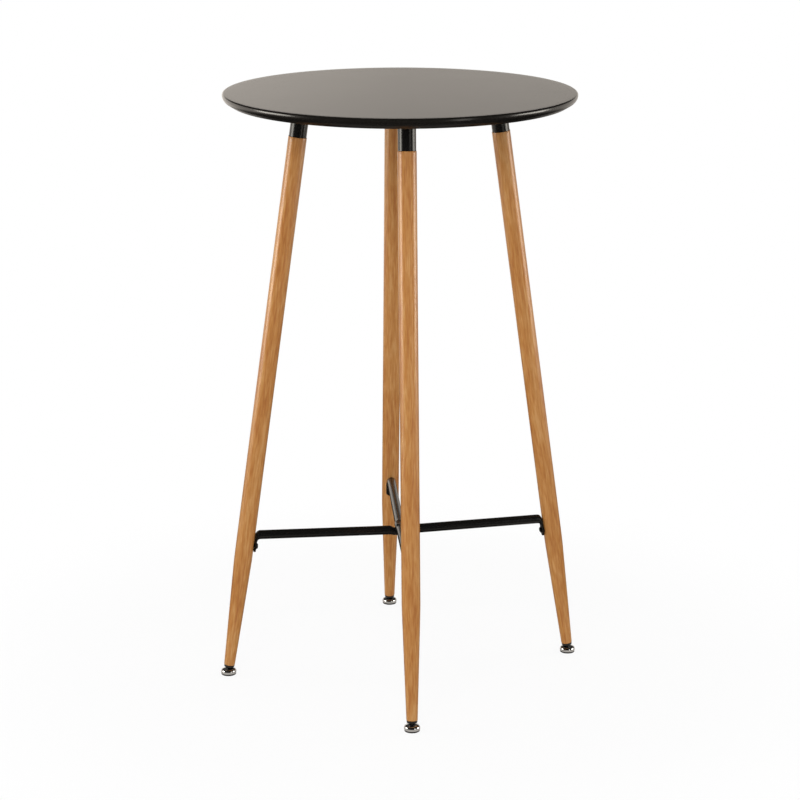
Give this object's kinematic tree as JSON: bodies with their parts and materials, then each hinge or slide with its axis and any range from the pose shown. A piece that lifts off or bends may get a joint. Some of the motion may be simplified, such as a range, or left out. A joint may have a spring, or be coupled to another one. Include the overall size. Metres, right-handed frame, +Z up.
{
  "type": "bar table",
  "caption": "Round bar-height table on splayed tubular legs with a crossed foot stretcher and swivelling levelling feet that screw out of the legs.",
  "frame": {"origin": "on the floor, under the middle of the tabletop", "axes": "+Z up; the legs stand on the corners of a rectangle that is longer along X, +Y to the back"},
  "size_m": [0.6, 0.6, 1.03],
  "materials": {
    "top": "board with a black satin lacquer all round, which mirrors a pale room as a warm grey at a low angle",
    "insert": "plain turned brass",
    "screw": "black zinc",
    "bolt": "bright zinc",
    "socket": "satin black powder coat",
    "leg": "steel tube with a satin light oak grain film",
    "stretcher": "satin black powder coat",
    "rivet_nut": "black zinc",
    "plug": "moulded black polyamide",
    "stem": "bright zinc",
    "bell": "bright chrome",
    "pad": "moulded black polyamide"
  },
  "bodies": {
    "table": {"tabletop": "top", "threaded_inserts": "insert", "plate_screws": "screw", "leg_socket_right_back": "socket", "leg_right_back": "leg", "leg_plug_right_back": "plug", "leg_socket_left_back": "socket", "leg_left_back": "leg", "leg_plug_left_back": "plug", "leg_socket_left_front": "socket", "leg_left_front": "leg", "leg_plug_left_front": "plug", "leg_socket_right_front": "socket", "leg_right_front": "leg", "leg_plug_right_front": "plug", "tie_bolts": "bolt", "stretcher_rivet_nuts": "rivet_nut", "stretcher_screws": "screw", "lower_stretcher": "stretcher", "upper_stretcher": "stretcher", "crossing_screw": "screw", "crossing_rivet_nut": "rivet_nut"},
    "foot_right_back": {"foot_bell_right_back": "bell", "foot_pad_right_back": "pad"},
    "stem_right_back": {"foot_stem_right_back": "stem"},
    "foot_left_back": {"foot_bell_left_back": "bell", "foot_pad_left_back": "pad"},
    "stem_left_back": {"foot_stem_left_back": "stem"},
    "foot_left_front": {"foot_bell_left_front": "bell", "foot_pad_left_front": "pad"},
    "stem_left_front": {"foot_stem_left_front": "stem"},
    "foot_right_front": {"foot_bell_right_front": "bell", "foot_pad_right_front": "pad"},
    "stem_right_front": {"foot_stem_right_front": "stem"}
  },
  "joints": [
    {"name": "foot_travel_right_back", "type": "slide", "parent": "table", "child": "foot_right_back", "axis": [0.1043, 0.0932, -0.9902], "range_m": [0, 0.012]},
    {"name": "stem_turn_right_back", "type": "hinge", "parent": "foot_right_back", "child": "stem_right_back", "pos_m": [0.23062, 0.2062, 0.00662], "axis": [0.1043, 0.0932, -0.9902], "range_deg": [0, 3457]},
    {"name": "foot_travel_left_back", "type": "slide", "parent": "table", "child": "foot_left_back", "axis": [-0.1043, 0.0932, -0.9902], "range_m": [0, 0.012]},
    {"name": "stem_turn_left_back", "type": "hinge", "parent": "foot_left_back", "child": "stem_left_back", "pos_m": [-0.23062, 0.2062, 0.00662], "axis": [-0.1043, 0.0932, -0.9902], "range_deg": [0, 3457]},
    {"name": "foot_travel_left_front", "type": "slide", "parent": "table", "child": "foot_left_front", "axis": [-0.1043, -0.0932, -0.9902], "range_m": [0, 0.012]},
    {"name": "stem_turn_left_front", "type": "hinge", "parent": "foot_left_front", "child": "stem_left_front", "pos_m": [-0.23062, -0.2062, 0.00662], "axis": [-0.1043, -0.0932, -0.9902], "range_deg": [0, 3457]},
    {"name": "foot_travel_right_front", "type": "slide", "parent": "table", "child": "foot_right_front", "axis": [0.1043, -0.0932, -0.9902], "range_m": [0, 0.012]},
    {"name": "stem_turn_right_front", "type": "hinge", "parent": "foot_right_front", "child": "stem_right_front", "pos_m": [0.23062, -0.2062, 0.00662], "axis": [0.1043, -0.0932, -0.9902], "range_deg": [0, 3457]}
  ],
  "couplings": [
    {"joint": "stem_turn_right_back", "follows": "foot_travel_right_back", "rad_per_m": 5026.5},
    {"joint": "stem_turn_left_back", "follows": "foot_travel_left_back", "rad_per_m": 5026.5},
    {"joint": "stem_turn_left_front", "follows": "foot_travel_left_front", "rad_per_m": 5026.5},
    {"joint": "stem_turn_right_front", "follows": "foot_travel_right_front", "rad_per_m": 5026.5}
  ]
}
